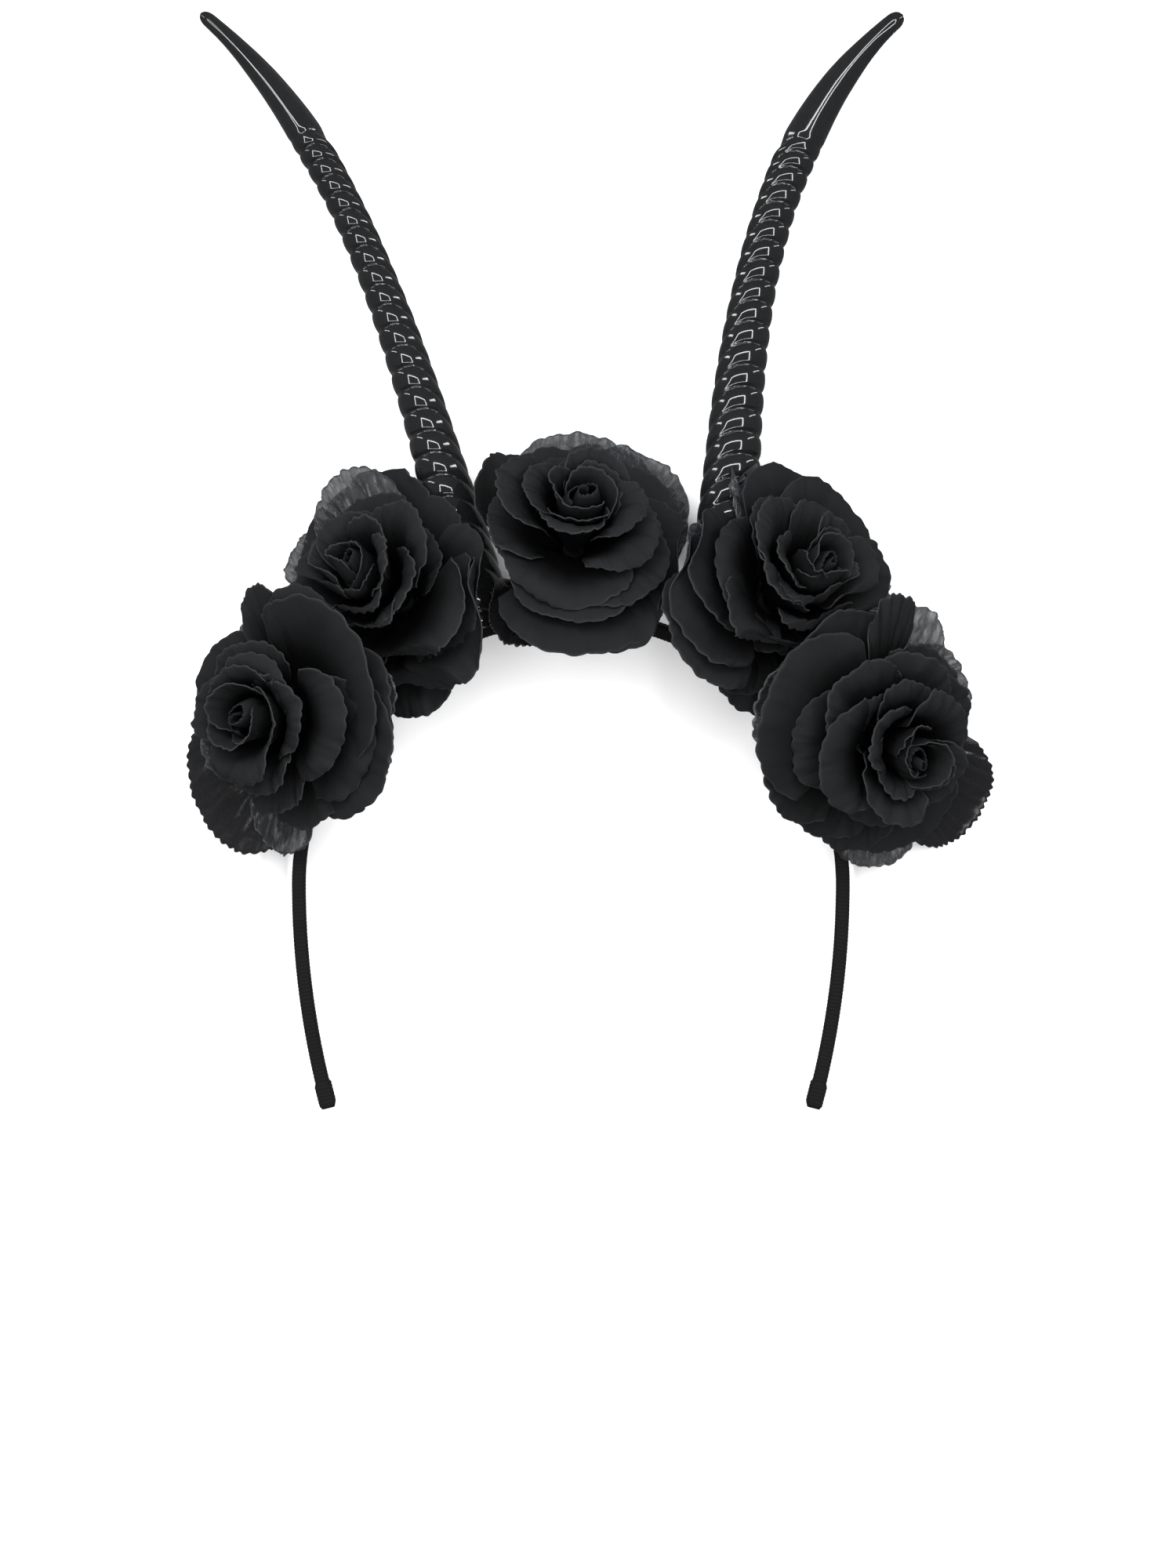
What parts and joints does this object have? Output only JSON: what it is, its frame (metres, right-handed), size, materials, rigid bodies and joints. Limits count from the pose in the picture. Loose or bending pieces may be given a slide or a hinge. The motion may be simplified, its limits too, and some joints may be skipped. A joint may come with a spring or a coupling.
{
  "type": "devil horn headband",
  "caption": "Narrow ribbon-covered headband with tall ribbed horns rising between large ruffled cloth roses, for costume wear.",
  "frame": {"origin": "middle of the footprint on the surface that the headpiece lies on, on its back", "axes": "+X to the right seen from the front, +Y from the band's ends to the horn tips, +Z out of the headpiece's front"},
  "size_m": [0.2448, 0.33, 0.0723],
  "materials": {
    "ribbon": "matte ribbed ribbon",
    "horn": "glossy",
    "petal": "matte",
    "organza": "sheer, crinkled",
    "satin": "satin"
  },
  "bodies": {
    "root": {"band": "ribbon", "horn_left": "horn", "horn_right": "horn", "rose_1_organza_petals": "organza", "rose_1_outer_petals": "petal", "rose_1_middle_petals": "petal", "rose_1_inner_petals": "petal", "rose_1_leaf": "satin", "rose_1_bud": "petal", "rose_1_stem": "petal", "rose_2_organza_petals": "organza", "rose_2_outer_petals": "petal", "rose_2_middle_petals": "petal", "rose_2_inner_petals": "petal", "rose_2_bud": "petal", "rose_2_stem": "petal", "rose_3_organza_petals": "organza", "rose_3_outer_petals": "petal", "rose_3_middle_petals": "petal", "rose_3_inner_petals": "petal", "rose_3_leaf": "satin", "rose_3_bud": "petal", "rose_3_stem": "petal", "rose_4_organza_petals": "organza", "rose_4_outer_petals": "petal", "rose_4_middle_petals": "petal", "rose_4_inner_petals": "petal", "rose_4_bud": "petal", "rose_4_stem": "petal", "rose_5_organza_petals": "organza", "rose_5_outer_petals": "petal", "rose_5_middle_petals": "petal", "rose_5_inner_petals": "petal", "rose_5_leaf": "satin", "rose_5_bud": "petal", "rose_5_stem": "petal"}
  },
  "joints": []
}
